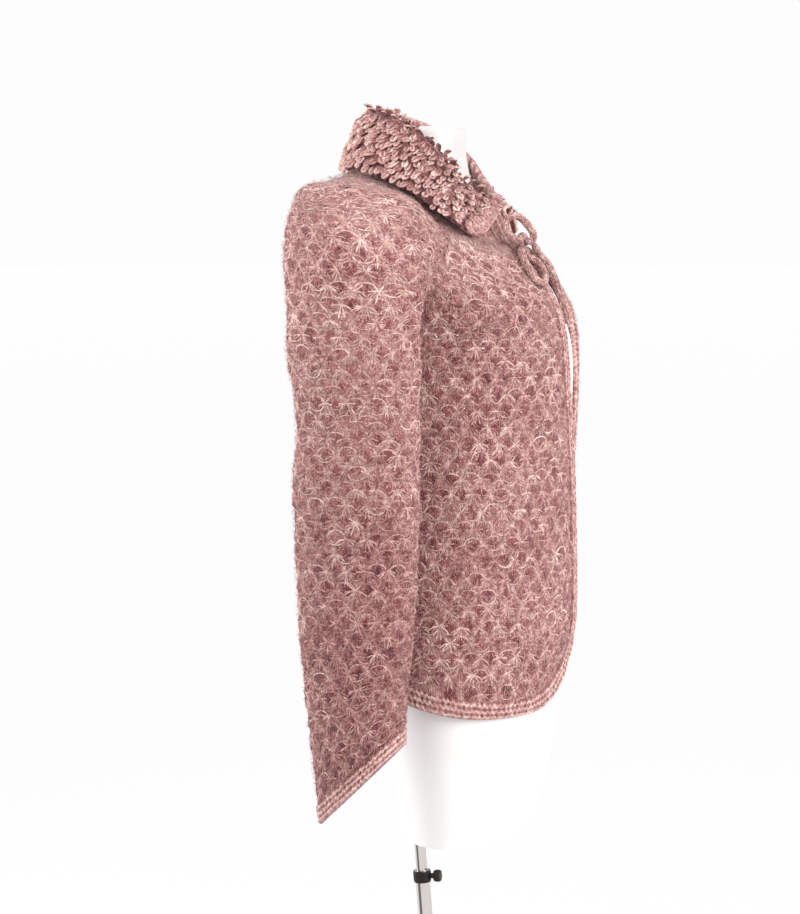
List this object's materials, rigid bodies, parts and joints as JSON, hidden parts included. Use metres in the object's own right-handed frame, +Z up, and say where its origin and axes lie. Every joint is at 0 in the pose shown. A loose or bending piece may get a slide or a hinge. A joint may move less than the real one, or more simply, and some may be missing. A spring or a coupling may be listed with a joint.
{
  "type": "knitted cardigan on a limbless dress form with a stand",
  "caption": "Open-front knitted cardigan with a looped fold-over collar, raglan sleeves and a tied bow, worn by a limbless dress form on an adjustable pole stand.",
  "frame": {"origin": "middle of the base's underside, on the floor", "axes": "+Z up, the wearer faces -Y, the wearer's left is +X"},
  "size_m": [0.5182, 0.3032, 1.5758],
  "materials": {
    "marled_wool": "fuzzy marled knit",
    "garter_edging": "ridged knit",
    "looped_wool": "looped pile",
    "knitted_cord": "knitted tube",
    "white_form": "satin",
    "chrome": "polished",
    "black_clamp": "satin",
    "painted_steel": "smooth paint"
  },
  "bodies": {
    "stand": {"stand_tube": "chrome", "stand_clamp": "black_clamp", "stand_base": "painted_steel"},
    "upper": {"form_torso": "white_form", "stand_pole": "chrome", "back": "marled_wool", "front_right": "marled_wool", "front_left": "marled_wool", "sleeve_right": "marled_wool", "sleeve_left": "marled_wool", "border_right": "garter_edging", "border_left": "garter_edging", "border_back": "garter_edging", "cuff_right": "garter_edging", "cuff_left": "garter_edging", "collar": "looped_wool", "tie_knot": "knitted_cord", "tie_loop_near": "knitted_cord", "tie_loop_far": "knitted_cord", "tie_end_right": "knitted_cord", "tie_end_left": "knitted_cord", "tie_neck_left": "knitted_cord"}
  },
  "joints": [
    {"name": "pole_slide", "type": "slide", "parent": "stand", "child": "upper", "axis": [0, 0.0788, 0.9969], "range_m": [-0.05, 0.3]}
  ]
}
